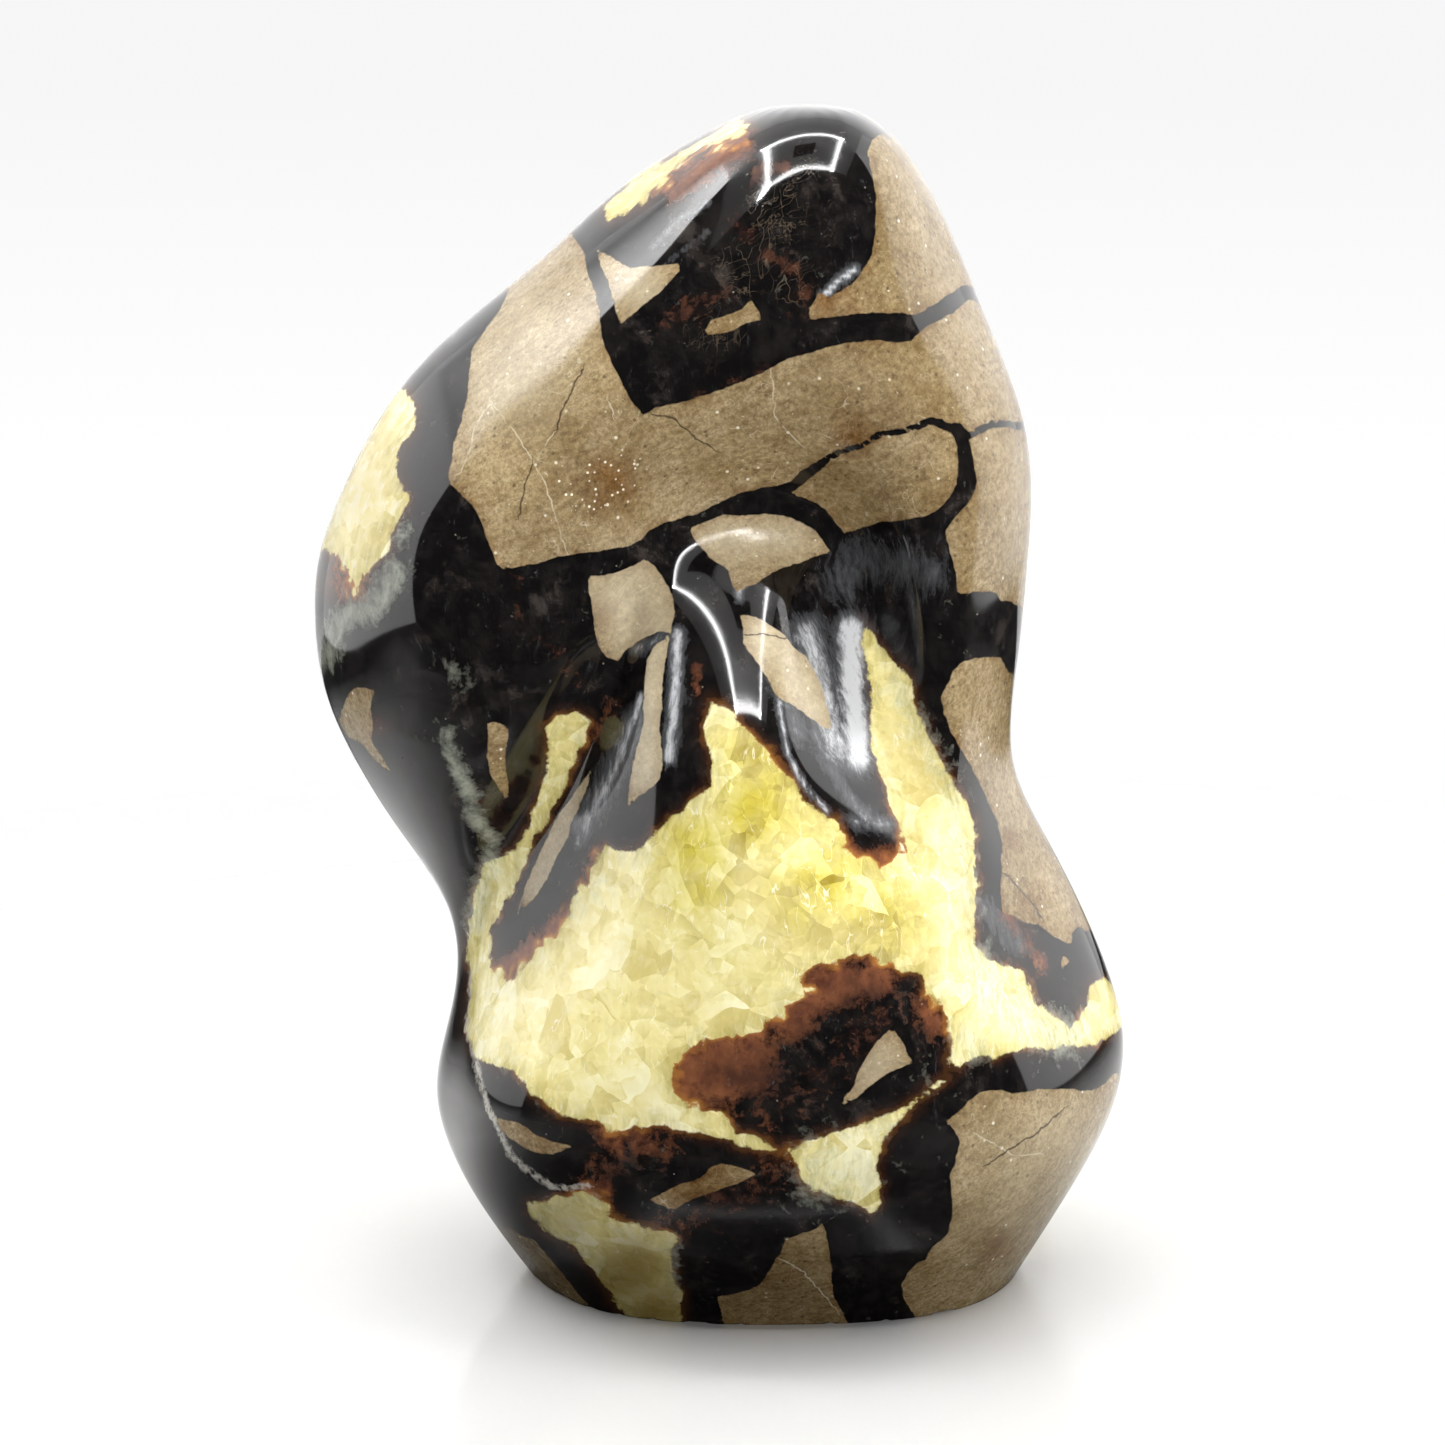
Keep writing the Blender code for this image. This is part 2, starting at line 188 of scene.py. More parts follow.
# ---------------------------------------------------------------- calcite and the brown island
# Yellow calcite filled the widest cracks. A red-brown island of aragonite
# stands in the largest pool. Their outlines are measured as the blocks' are.
CALCITE = {
    "great pool": [
        (-7.5, 70), (-7.8, 68), (-8, 66), (-7.6, 64), (-7.3, 62), (-7.5, 60), (-9, 58.5), (-10.3, 57),
        (-12.5, 55.4), (-15, 53), (-16.5, 51.8), (-18.5, 52), (-20, 52.2), (-20.8, 51), (-21.8, 49),
        (-23, 47), (-24.2, 45), (-25, 43), (-26.3, 41.5), (-28, 39.8), (-29.5, 38), (-30.5, 36.8),
        (-31.5, 36.2), (-32.7, 36.8), (-33.8, 37.8), (-33.5, 41.5), (-35, 42), (-36, 40), (-35.9, 37),
        (-36, 33), (-36.5, 30), (-35.8, 27), (-35, 26), (-33, 25.4), (-31.5, 25), (-30.3, 23.8), (-29, 22),
        (-27.5, 20.8), (-26, 19.7), (-24.5, 18.6), (-22.5, 18.4), (-21, 18), (-19.7, 17.3), (-18.5, 16.8),
        (-16.5, 17.5), (-14.5, 17.7), (-12.8, 18), (-11.5, 17.2), (-10, 16.8), (-8, 16.7), (-6, 16.3),
        (-4.5, 15.3), (-3, 15), (-1, 14.5), (1, 14.3), (2, 13.8), (21.3, 25.6), (22.2, 25), (23.5, 26),
        (25, 26.7), (26.5, 26.3), (28, 27), (29.5, 27.2), (31, 27.5), (33, 27.3), (35, 27.8), (36.5, 28),
        (36.5, 29), (35.8, 29.8), (35, 30.5), (34.3, 31), (33, 32), (31.3, 33), (30.5, 35), (30, 36.8),
        (28.5, 37.5), (26.5, 38), (25, 38.8), (24, 40.5), (23.8, 42.5), (24, 45), (24.2, 47.5), (23.9, 50),
        (23.6, 52), (23.8, 53.5), (23.7, 55.5), (22.3, 58), (21, 60.5), (20, 62.5), (18.5, 65), (17, 68),
        (16.3, 70), (16, 72.5), (14.5, 74), (12.6, 76), (11.3, 77.8), (10.3, 79.5), (10.5, 75.5),
        (11.3, 72), (11.5, 69.5), (11.3, 67), (11.4, 65), (12, 63), (12.8, 60.5), (13.4, 58.5), (14, 56.5),
        (15, 54.5), (15.6, 52.5), (14.5, 51.2), (12.8, 50.4), (11, 50.8), (9.5, 52), (8, 54), (7.5, 55.5),
        (5.5, 56.5), (3.5, 58), (2.5, 60), (1, 62), (-0.5, 64), (-2, 65.5), (-4, 67.5), (-5.5, 69.5)],
    "low pocket": [
        (1.5, 14.4), (3.5, 12.5), (3.8, 11), (4.2, 9.8), (6, 9.3), (8, 8.6), (10, 7.8), (12, 6.5),
        (12.8, 7.5), (13, 9), (13.2, 10.5), (12.6, 12), (12.8, 14), (13.2, 15.6), (14.6, 17), (15.5, 18.3),
        (18, 21.4), (21, 23.7), (18, 22), (16.5, 20.7), (14.5, 19.6), (12.5, 18.7), (11, 18), (9, 17.3),
        (7, 16.8), (5, 15.9), (3, 15.2)],
    "base pocket": [
        (-29.5, 8), (-27, 8.2), (-25, 9), (-22.5, 9.6), (-20.7, 9), (-20, 7.7), (-20, 6.3), (-18, 5.6),
        (-16, 5), (-14, 4.4), (-12, 4.2), (-11, 3.5), (-12, 2), (-12.2, 0), (-12, -2), (-11, -3.5),
        (-11, -6.5), (-11, -10), (-16, -10), (-18.3, -5.8), (-19.5, -4.3), (-20.3, -2.5), (-21.7, -0.7),
        (-23.3, 1.3), (-24.5, 3), (-26, 3.3), (-28, 4.7), (-28.3, 5.5), (-29.5, 6.5)],
    "left pocket": [
        (-43.5, 107.5), (-42.5, 106.5), (-41.5, 105), (-41.2, 103), (-42, 101), (-43.2, 99.5), (-43.6, 97),
        (-43, 95), (-42.2, 93.6), (-42.8, 92), (-44.5, 90), (-44.7, 87.5), (-46.5, 86), (-47.8, 84),
        (-48.5, 82), (-49.5, 85), (-50.3, 86.8), (-52.5, 88), (-60, 88), (-60, 100), (-50, 108)],
    "fold stripe": [
        (-25, 68), (-23, 68.5), (-21.5, 67.5), (-22.5, 64.5), (-23.5, 62.5), (-24.5, 59.5), (-26, 57.5),
        (-27, 55), (-28.5, 53), (-29.5, 50), (-31, 46.5), (-32.5, 44), (-34, 41.5), (-35, 38.5),
        (-36, 36.5), (-36.5, 40), (-36, 43), (-35, 48), (-34, 50.5), (-32, 51), (-30.5, 52), (-29.5, 54),
        (-28.5, 55.5), (-28, 57.5), (-27.5, 59.5), (-27, 61), (-26.5, 63.5), (-26.5, 66), (-27, 67)],
    "top strip": [
        (-3, 136.5), (-3.5, 135), (-6, 134), (-9.5, 133), (-11.5, 131), (-13.5, 129), (-14.5, 128),
        (-16, 127), (-19, 125.5), (-19.5, 127), (-16, 130), (-10.5, 134), (-5.5, 136.5), (-3, 138)],
    "right wedge": [
        (35.8, 30), (36.8, 31.5), (37.5, 33.5), (38.3, 35.7), (41, 37), (46, 36), (46, 30), (42.5, 30),
        (39.5, 28.8), (38.3, 27.8), (37.2, 27.5), (36.2, 28.2)],
}
ISLAND = [
    (-12, 25), (-11, 23.6), (-11.6, 22.5), (-10, 21.5), (-9.6, 20.4), (-7.5, 20), (-6, 19.3), (-5, 18.2),
    (-4.3, 17), (-3, 16.8), (-1, 15.6), (0.5, 15), (3, 15.2), (5, 15.9), (7, 16.8), (9, 17.3), (11, 18),
    (12.5, 18.7), (14.5, 19.6), (16.5, 20.7), (18, 22), (19.5, 23), (21, 24), (22, 24.8), (20.8, 26),
    (21.4, 28.5), (20.8, 31), (19.8, 33), (18.5, 34.3), (17.5, 36.5), (16, 37), (14.5, 37.6), (13, 38.3),
    (11, 39), (9.5, 39.3), (8, 38.7), (6.5, 37.7), (4.7, 37), (3.8, 35.8), (4.2, 34.5), (2.5, 33.5),
    (1.3, 32), (-0.3, 31), (-1.5, 30), (-3, 29), (-5, 28.7), (-7, 28.8), (-8.6, 28.4), (-10, 27), (-11, 26)]

# ---------------------------------------------------------------- hairlines, tints and painted light
# Healed cracks a few tenths of a millimetre wide, the soft stains and veils
# that minerals left, and painted highlights, reflections, sheen and shade, in mm
# as (across, up). A stroke is (line, half width, strength) and a spot is
# (across, up, radius, strength).
PALE_LINES = [
    [(-32.5, 105), (-30, 101.5), (-28, 98.5), (-26.5, 95.5), (-25.5, 92.5), (-24, 87)],
    [(-27.5, 98), (-26, 100.5), (-25, 102)],
    [(-32.5, 105), (-34.5, 102), (-35, 99.5), (-36.5, 96.5)],
    [(-19, 105), (-18.5, 103.5)],
    [(-0.5, 109.5), (0, 103), (3, 100)],
    [(24, 17), (27, 15.3), (29, 14), (32.5, 14.2)],
    [(1, 0.7), (4, -1), (8, -6)],
]
DARK_LINES = [
    [(-28, 97.5), (-29, 94.5), (-29.5, 92)],
    [(-14, 103.5), (-11.5, 103), (-9.5, 101), (-7, 99.5)],
    [(-22, 108.5), (-24.5, 104), (-25, 102)],
    [(-36.8, 70.8), (-43.5, 65.5), (-45.5, 63)],
    [(-27, 69), (-31, 57.5), (-32.5, 55)],
    [(-35, 50), (-36.5, 47), (-36.8, 43)],
    [(27.5, 49), (29.5, 46.8), (31, 45), (31.8, 43.5)],
    [(26, 13), (29, 15), (32, 17), (35, 20)],
    [(-3.5, 77.7), (-1, 77.9), (1.2, 77.4)],
]
# a thin white line round the lower left: partly a real white vein, partly a painted highlight along the
# ridge there
WHITE_VEIN_AND_GLEAM_LINE = [[
    (-35.9, 37), (-36, 33), (-36.5, 30), (-35.8, 27), (-35, 23), (-34, 19.5), (-33, 17.3),
    (-31.5, 14), (-29.5, 12), (-27, 10.2), (-24.5, 9.7), (-22, 10.2)]]
RUST_STROKES = [
    ([(-9, 24), (-3, 25.5)], 4.5, 1.25), ([(2, 31), (6, 35), (12, 36)], 3.2, 1.1),
    ([(18, 33), (19, 30)], 2.2, 0.8), ([(0, 20), (6, 24), (14, 33)], 4.0, 0.4),
    ([(-20, 16), (-14, 15)], 3.0, 0.65), ([(-50.5, 84)], 2.6, 1.0), ([(-46, 67)], 1.8, 0.7),
    ([(-9, 74), (-9, 71)], 0.7, 0.8), ([(7, 53), (10, 50), (15, 51)], 2.2, 0.9),
    ([(-6, 67), (0, 62)], 1.6, 0.5), ([(-23, 8), (-20, 12)], 3.0, 0.7),
    ([(-12, 6), (-4, 8), (1, 12)], 3.0, 0.45), ([(-29.8, 84), (-29.5, 80)], 1.0, 0.5),
    ([(-27, 77), (-22, 72)], 1.5, 0.35), ([(32, 38), (28, 44)], 1.6, 0.7),
    ([(-11.5, 129), (-9.5, 130.5), (-7, 132), (-4, 133.5)], 2.0, 1.0),
    ([(-2, 130.5), (1, 131.5)], 1.3, 0.9), ([(-13.5, 113.5), (-10, 115.5), (-5.5, 117.5)], 1.3, 0.55),
    ([(-1, 122), (2, 120), (3.5, 118), (3, 115.5)], 1.2, 0.6), ([(-5.5, 126), (-3, 123)], 1.5, 0.4),
    ([(-9.5, 106), (-5, 107), (2, 110)], 1.0, 0.4),
    ([(-32.5, 37), (-30, 39), (-27.5, 41), (-25, 43.5)], 1.4, 1.0),
    ([(-22.5, 48), (-21, 52.5)], 1.0, 0.5), ([(-21.5, 65), (-18.5, 69.5)], 1.2, 0.5),
    ([(-36, 60), (-34, 56.5)], 0.8, 0.5),
]
MILK_STROKES = [
    ([(-38.5, 66), (-37.5, 62.5), (-36, 59.5), (-35, 55.5), (-33, 53)], 1.2, 0.95),
    ([(-33.5, 51), (-34.5, 47), (-35.5, 43)], 1.7, 0.85), ([(-38, 74.5), (-36.5, 71.5)], 1.2, 0.5),
    ([(-52.5, 75), (-50.5, 79.5), (-46, 81.5), (-44, 85)], 1.9, 0.95),
    ([(-43, 90), (-45, 86)], 1.5, 0.5),
    ([(14, 71), (17.5, 66), (20.5, 59), (22.5, 50), (23, 44)], 1.8, 0.7),
    ([(24, 38), (26, 34), (31, 30), (35, 29)], 3.0, 0.95), ([(24, 28)], 3.0, 0.8),
    ([(-31, 26), (-34, 33)], 2.2, 0.45), ([(-23, 44), (-19, 49)], 1.6, 0.5), ([(7, 12)], 5.0, 0.8),
    ([(-53, 92), (-51, 102)], 3.0, 0.8), ([(18, 24)], 2.0, 0.4), ([(-12, 3), (-12, -3)], 1.2, 0.7),
    ([(-28, 7), (-22, 9)], 1.8, 0.4),
]
# painted reflections: grey and white streaks on the black aragonite along the nose, the hollow beside it
# and the left flank
REFLECTION_STROKES = [
    ([(9, 78.5), (9, 72.5), (9.5, 68.5), (10, 63)], 2.0, 1.1),
    ([(5, 66), (6.5, 62.5), (9, 58), (12, 55)], 0.9, 0.55),
    ([(0.5, 70), (1.5, 64), (3.5, 60), (6.5, 56.5)], 0.4, 0.9), ([(0.5, 72.5), (3, 65.5)], 1.5, 0.5),
    ([(9.5, 55.5), (13.5, 55)], 1.2, 0.6), ([(-11.2, 78), (-11.6, 70), (-12.3, 63)], 0.9, 0.95),
    ([(4, 78), (6, 70), (7.5, 64)], 2.2, 0.85),
    ([(-15.5, 70.5), (-18, 63), (-20.5, 58), (-23, 52.5)], 0.5, 0.9),
    ([(-16.5, 67.5), (-19.5, 60), (-22.5, 55)], 1.6, 0.7), ([(8, 84), (10, 87), (18, 85)], 3.0, 0.4),
    ([(-37, 113), (-35.5, 119)], 1.4, 0.8), ([(-4.5, 87), (-4, 82)], 0.6, 0.8),
    ([(25, 45), (29, 40)], 1.6, 0.4), ([(-16, 76), (-13, 77.5)], 1.0, 0.6),
    ([(-14, 122.5), (-11, 125.5), (-7.5, 127.5)], 0.45, 0.6),
    ([(-12.5, 120.5), (-7.5, 124.5)], 0.3, 0.4), ([(5.5, 117), (7, 118.5), (9, 120)], 0.6, 1.0),
]
# painted sheen: pale veils on the tan limestone standing in for the polish mirroring the white tent
SHEEN_STROKES = [
    ([(30, 10), (32, 16)], 9.0, 0.30), ([(-17, 82), (-15, 79)], 5.0, 0.9),
    ([(-6, 89), (2, 89)], 3.0, 0.6), ([(-14, 76), (-14.5, 68), (-15, 61)], 2.5, 0.9),
    ([(-1, 78), (2, 74), (5, 69)], 3.0, 0.9), ([(-23, 59), (-28, 48)], 2.5, 0.7),
    ([(-28, 112), (-30, 107)], 6.0, 0.5), ([(13, 26), (12, 23)], 3.0, 0.6),
    ([(-16, 119), (-14, 116)], 3.0, 0.7),
]
# painted shade: darker patches, strongest round the foot of the stone and weaker higher up
PAINTED_SHADE_SPOTS = [
    (17, 60, 9, 0.30), (25, 44, 8, 0.25), (12, 105, 13, 0.38), (22, 92, 9, 0.32),
    (-12, 131, 9, 0.35), (-49, 97, 10, 0.5), (-24, 6, 4, 0.5), (-17, -1, 6, 1.0),
    (-14, -6, 6, 1.0), (-27, 5, 3, 0.4), (-8, 8, 6, 0.3), (3, -4, 9, 0.7)]
SPARKLE_SPOTS = [
    (-20, 95.5, 4.0, 1.0), (-17, 97, 3.0, 0.9), (-24, 94.5, 3.0, 0.8), (-3, 97, 3, 0.5),
    (10, 107, 5, 0.4)]
GRIT_SPOTS = [
    (0, 126, 4.5, 1.0), (-4, 120, 4, 0.9), (2, 118.5, 3.5, 1.0), (3, 131, 3, 0.8),
    (-7, 113, 6, 0.6), (6, 125, 4, 0.5)]
LEMON_SPOTS = [
    (-2, 57, 6, 1.0), (-9, 52, 5, 1.0), (6, 48, 7, 0.8), (13, 44, 6, 0.7), (-3, 62, 4, 0.8),
    (-6, 42, 5, 0.4), (-9, 47, 4, 0.8)]
STAIN_SPOTS = [
    (-20.5, 80, 2.5, 0.9), (28, 53, 2, 0.8), (27, 2.3, 3, 0.8), (6, 117, 4, 0.8), (9, 101, 3, 0.9),
    (-19, 95.5, 4.5, 0.9), (-9, 9.8, 6, 0.7), (-28, 16.5, 4, 0.6), (0, 0, 8, 0.4), (31, 46, 3, 0.6),
    (-17.5, 36.3, 1.6, 0.7), (-21.3, 31, 1.2, 0.7), (-24.5, 30, 1.2, 0.7), (-51, 94, 2, 0.6)]

# ---------------------------------------------------------------- where each mineral lies
# Every point of the polished skin gets its distance in mm from the edge of
# each mineral. Seen from the front it follows the outlines; behind, the
# cracks carry on between blocks that no picture shows.
BLOCKS_BEHIND = [
    (-35, 12, 108), (2, 20, 120), (22, 8, 128), (-14, 25, 92), (18, 22, 95), (-44, 8, 78),
    (-24, 24, 62), (8, 26, 66), (31, 6, 74), (30, 18, 44), (-6, 24, 36), (-33, 10, 24), (20, 22, 10),
    (-12, 20, 4), (42, 2, 20), (-50, -8, 94), (34, -4, 52), (-20, -2, 124), (-28, -6, 46), (4, 0, -6)]
REACH = 5.0
HIDES = 10
NOWHERE_NEAR = 1e6
FRONT_ENDS = (-16.0, -6.0)
EDGE_ON = 0.35
WANDER, WANDER_SIZE = 2.5, 7.0
SHIFT, SHIFT_SIZE = 3.5, 16.0
NARROW_CRACK, WIDER_CRACK, CRACK_SWELL = 1.0, 7.5, 42.0
POOL_INSET = 2.6


def read_points(attribute, owner, width):
    """All the values of a mesh attribute as one array."""
    flat = np.empty(len(owner) * width)
    owner.foreach_get(attribute, flat)
    return flat.reshape(-1, width)


def from_segment(points, start, end):
    """Each point's distance from a straight segment, and above zero on one side of it."""
    du, dv = end[0] - start[0], end[1] - start[1]
    pu, pv = points[:, 0] - start[0], points[:, 1] - start[1]
    along = np.clip((pu * du + pv * dv) / max(du * du + dv * dv, 1e-9), 0, 1)
    return np.hypot(pu - along * du, pv - along * dv), pu * dv - pv * du


def depth_inside(points, outline):
    """Distance in mm to an outline's edge, above zero inside it and below zero outside."""
    u, v = points.T
    nearest = np.full(len(points), NOWHERE_NEAR)
    inside = np.zeros(len(points), bool)
    for (u0, v0), (u1, v1) in zip(outline, outline[1:] + outline[:1]):
        nearest = np.minimum(nearest, from_segment(points, (u0, v0), (u1, v1))[0])
        if v0 != v1:
            inside ^= ((v0 > v) != (v1 > v)) & (u - u0 < (v - v0) * (u1 - u0) / (v1 - v0))
    return np.where(inside, nearest, -nearest)


def beside_lines(points, lines):
    """For a set of hairlines: the distance to the nearest, and the same signed for its side."""
    nearest = np.full(len(points), NOWHERE_NEAR)
    signed = np.full(len(points), NOWHERE_NEAR)
    for line in lines:
        for start, end in zip(line, line[1:]):
            away, side = from_segment(points, start, end)
            closer = away < nearest
            nearest = np.where(closer, away, nearest)
            signed = np.where(closer, np.where(side > 0, away, -away), signed)
    return nearest, signed


def soft_spots(points, spots):
    """Strength of the soft spots (across, up, radius, most) at each point."""
    strength = np.zeros(len(points))
    for u, v, radius, most in spots:
        away = np.hypot(points[:, 0] - u, points[:, 1] - v) / radius
        strength = np.maximum(strength, most * np.exp(-away ** 2))
    return strength


def soft_strokes(points, strokes):
    """The same for soft strokes (line, half width, most), brushed along a line or dabbed once."""
    strength = np.zeros(len(points))
    for line, half_width, most in strokes:
        away, _ = beside_lines(points, [line if len(line) > 1 else line + line])
        strength = np.maximum(strength, most * np.exp(-(away / half_width) ** 2))
    return strength


def ramp(value, start, end):
    """0 before start and 1 after end, smooth between."""
    t = np.clip((value - start) / (end - start), 0, 1)
    return t * t * (3 - 2 * t)


def ripple(points, size, which):
    """Smooth noise between about -1 and 1, with swells of a size in mm; which picks the swells."""
    return np.array([noise.noise(Vector(p) / size + Vector((which, 0, 0))) for p in points])


# the outlines were read from in front, so each point of the skin is carried
# along its line of sight to the upright plane through the stone's middle
skin = read_points("co", stone.data.vertices, 3) * 1000
outward = read_points("normal", stone.data.vertices, 3)
eye = np.array(CAMERA_MM)
to_eye = eye - skin
to_eye /= np.linalg.norm(to_eye, axis=1)[:, None]
facing = (outward * to_eye).sum(1)
sight = -eye[1] / (skin[:, 1] - eye[1])
across_up = np.stack([eye[axis] + (skin[:, axis] - eye[axis]) * sight for axis in (0, 2)], 1)
past_front = ramp(skin[:, 1], *FRONT_ENDS)
wander = WANDER * (1 - ramp(facing, 0.0, EDGE_ON)) * past_front
for axis, which in ((0, 11.0), (1, 37.0)):
    across_up[:, axis] += wander * ripple(skin, WANDER_SIZE, which)
behind = ramp(-facing, -0.10, EDGE_ON) * past_front

# behind, cracks run midway between the middles of neighbouring blocks
shift = np.stack([ripple(skin, SHIFT_SIZE, which) for which in (3.0, 17.0, 29.0)], 1)
shifted = skin + SHIFT * shift
middles = np.array(BLOCKS_BEHIND, float)
away = np.linalg.norm(shifted[:, None, :] - middles[None], axis=2)
order = np.argsort(away, axis=1)
first, second = order[:, 0], order[:, 1]
gap_to = np.linalg.norm(middles[first] - middles[second], axis=1)
rows = np.arange(len(skin))
to_crack = (away[rows, second] ** 2 - away[rows, first] ** 2) / (2 * gap_to)
crack_half = NARROW_CRACK + WIDER_CRACK * ramp(ripple(skin, CRACK_SWELL, 5.0), -0.25, 0.45)
blocks_behind = to_crack - crack_half
pools_behind = -blocks_behind - POOL_INSET


def fold(front, back):
    """The front's distances, passing over into the back's round the sides."""
    return (1 - behind) * np.clip(front, -REACH, REACH) + behind * np.clip(back, -REACH, REACH)


blocks = np.max([depth_inside(across_up, outline) for outline in LIMESTONE.values()], axis=0)
pools = np.max([depth_inside(across_up, outline) for outline in CALCITE.values()], axis=0)
island = depth_inside(across_up, ISLAND)
pale_away, pale_side = beside_lines(across_up, PALE_LINES)
dark_away, dark_side = beside_lines(across_up, DARK_LINES)
vein_and_gleam_away, _ = beside_lines(across_up, WHITE_VEIN_AND_GLEAM_LINE)
in_front = 1 - behind
hidden = HIDES * behind
tint_behind = behind * ramp(ripple(skin, 18.0, 71.0), 0.05, 0.5)
milk_behind = behind * ramp(ripple(skin, 14.0, 53.0), 0, 0.5)
readings = {
    "limestone": fold(blocks, blocks_behind),
    "calcite": fold(np.minimum(pools, -island), pools_behind),
    "pale_away": np.clip(pale_away + hidden, 0, REACH),
    "pale_side": np.clip(pale_side, -REACH, REACH),
    "dark_away": np.clip(dark_away + hidden, 0, REACH),
    "dark_side": np.clip(dark_side, -REACH, REACH),
    # a real white vein, partly brightened as a painted highlight
    "white_vein_and_gleam": np.clip(vein_and_gleam_away + hidden, 0, REACH),
    "rust": in_front * soft_strokes(across_up, RUST_STROKES) + tint_behind,
    "milk": in_front * soft_strokes(across_up, MILK_STROKES) + milk_behind,
    # painted reflection
    "painted_reflection": in_front * soft_strokes(across_up, REFLECTION_STROKES),
    # painted sheen
    "painted_sheen": in_front * soft_strokes(across_up, SHEEN_STROKES),
    # painted shade
    "painted_shade": in_front * soft_spots(across_up, PAINTED_SHADE_SPOTS),
    "sparkle": in_front * soft_spots(across_up, SPARKLE_SPOTS),
    "grit": in_front * soft_spots(across_up, GRIT_SPOTS),
    "lemon": in_front * soft_spots(across_up, LEMON_SPOTS) + tint_behind,
    "stain": in_front * soft_spots(across_up, STAIN_SPOTS) + tint_behind * 0.6,
}
for name, values in readings.items():
    made = stone.data.attributes.new(name, "FLOAT", "POINT")
    made.data.foreach_set("value", values.astype(np.float32))


# ---------------------------------------------------------------- the stone's finish
# Tan limestone, near-black aragonite that glows orange where it is thin, and
# yellow calcite with milky veils, all under one glassy polish.
MUD_DEEP = (0.33, 0.240, 0.115, 1)
MUD_PALE = (0.49, 0.385, 0.225, 1)
BEDDING_TINT = (0.62, 0.54, 0.42, 1)
GRAIN_TINT = (0.52, 0.49, 0.43, 1)
SEAM_BROWN = (0.12, 0.070, 0.032, 1)
SEAM_PALE = (0.66, 0.58, 0.43, 1)
SPECK_DARK = (0.075, 0.045, 0.020, 1)
SPECK_PALE = (0.78, 0.71, 0.56, 1)
CRUMB_BROWN = (0.16, 0.105, 0.050, 1)
FLOUR_PALE = (0.74, 0.66, 0.50, 1)
STAIN_TINT = (0.56, 0.38, 0.20, 1)
EDGE_STAIN_TINT = (0.60, 0.42, 0.24, 1)
SUGAR_WHITE = (0.95, 0.88, 0.70, 1)
# colour of the painted sheen
PAINTED_SHEEN_PALE = (0.76, 0.68, 0.50, 1)
# the mud's tint where shade is painted
MUD_SHADE = (0.42, 0.36, 0.26, 1)
CRACK_PALE = (0.56, 0.49, 0.35, 1)
CRACK_DARK = (0.03, 0.018, 0.010, 1)
HORN_BLACK = (0.0040, 0.0034, 0.0034, 1)
HORN_SOFT = (0.016, 0.0135, 0.0125, 1)
HORN_CLOUD = (0.17, 0.14, 0.12, 1)
HORN_RIM = (0.115, 0.036, 0.012, 1)
BROWN_LIGHT = (0.300, 0.110, 0.045, 1)
BROWN_DARK = (0.070, 0.022, 0.014, 1)
BROWN_DEEP = (0.028, 0.014, 0.012, 1)
FRINGE_ORANGE = (0.40, 0.165, 0.034, 1)
SCRATCH_TAN = (0.30, 0.22, 0.14, 1)
DUST_PALE = (0.40, 0.36, 0.30, 1)
# colours of the painted reflections on the black
REFLECTION_GREY = (0.15, 0.155, 0.165, 1)
REFLECTION_WHITE = (0.58, 0.59, 0.60, 1)
MILK_GREEN = (0.40, 0.42, 0.34, 1)
# white of the vein line, partly a painted highlight
VEIN_AND_GLEAM_WHITE = (0.62, 0.59, 0.52, 1)
DENSE_CREAM = (0.64, 0.54, 0.20, 1)
DENSE_LEMON = (0.30, 0.225, 0.018, 1)
USUAL_CREAM = (0.82, 0.73, 0.33, 1)
USUAL_LEMON = (0.58, 0.485, 0.060, 1)
BRIGHT_CREAM = (0.94, 0.89, 0.59, 1)
BRIGHT_LEMON = (0.78, 0.70, 0.20, 1)
VEIL_PALE = (0.86, 0.82, 0.56, 1)
NEEDLE_WHITE = (1.0, 0.98, 0.85, 1)
SNOW_PALE = (0.84, 0.86, 0.66, 1)
SNOW_DEEP = (0.42, 0.44, 0.25, 1)
FLECK_BROWN = (0.42, 0.22, 0.055, 1)
# the calcite's tint where shade is painted
SPAR_SHADE = (0.36, 0.30, 0.20, 1)
EDGE_GREY_TINT = (0.52, 0.50, 0.32, 1)
POLISH_IOR = 1.58


class Reading:
    """A value at each point of the stone, read from a socket, that sums and products can use."""

    tree = None

    def __init__(self, socket):
        self.socket = socket

    @classmethod
    def node(cls, kind, settings=None, values=None, output=0):
        """A new node: its settings first, then its sockets' values or links. Gives one output."""
        made = cls.tree.nodes.new(kind)
        for name, setting in (settings or {}).items():
            setattr(made, name, setting)
        for name, value in (values or {}).items():
            if isinstance(value, cls):
                cls.tree.links.new(value.socket, made.inputs[name])
            else:
                made.inputs[name].default_value = value
        return None if output is None else cls(made.outputs[output])

    def worked(self, operation, *others):
        sockets = dict(enumerate((self, *others)))
        return self.node("ShaderNodeMath", {"operation": operation}, sockets)

    def __add__(self, other):
        return self.worked("ADD", other)

    def __mul__(self, other):
        return self.worked("MULTIPLY", other)

    def __sub__(self, other):
        return self.worked("SUBTRACT", other)

    def __truediv__(self, other):
        return self.worked("DIVIDE", other)

    def __rsub__(self, other):
        return self.node("ShaderNodeMath", {"operation": "SUBTRACT"}, {0: other, 1: self})

    def __abs__(self):
        return self.worked("ABSOLUTE")

    __radd__ = __add__
    __rmul__ = __mul__

    def between(self, low, high):
        """0 where the value is low and 1 where it is high."""
        return self.node("ShaderNodeMapRange", {"clamp": True}, {0: self, 1: low, 2: high})


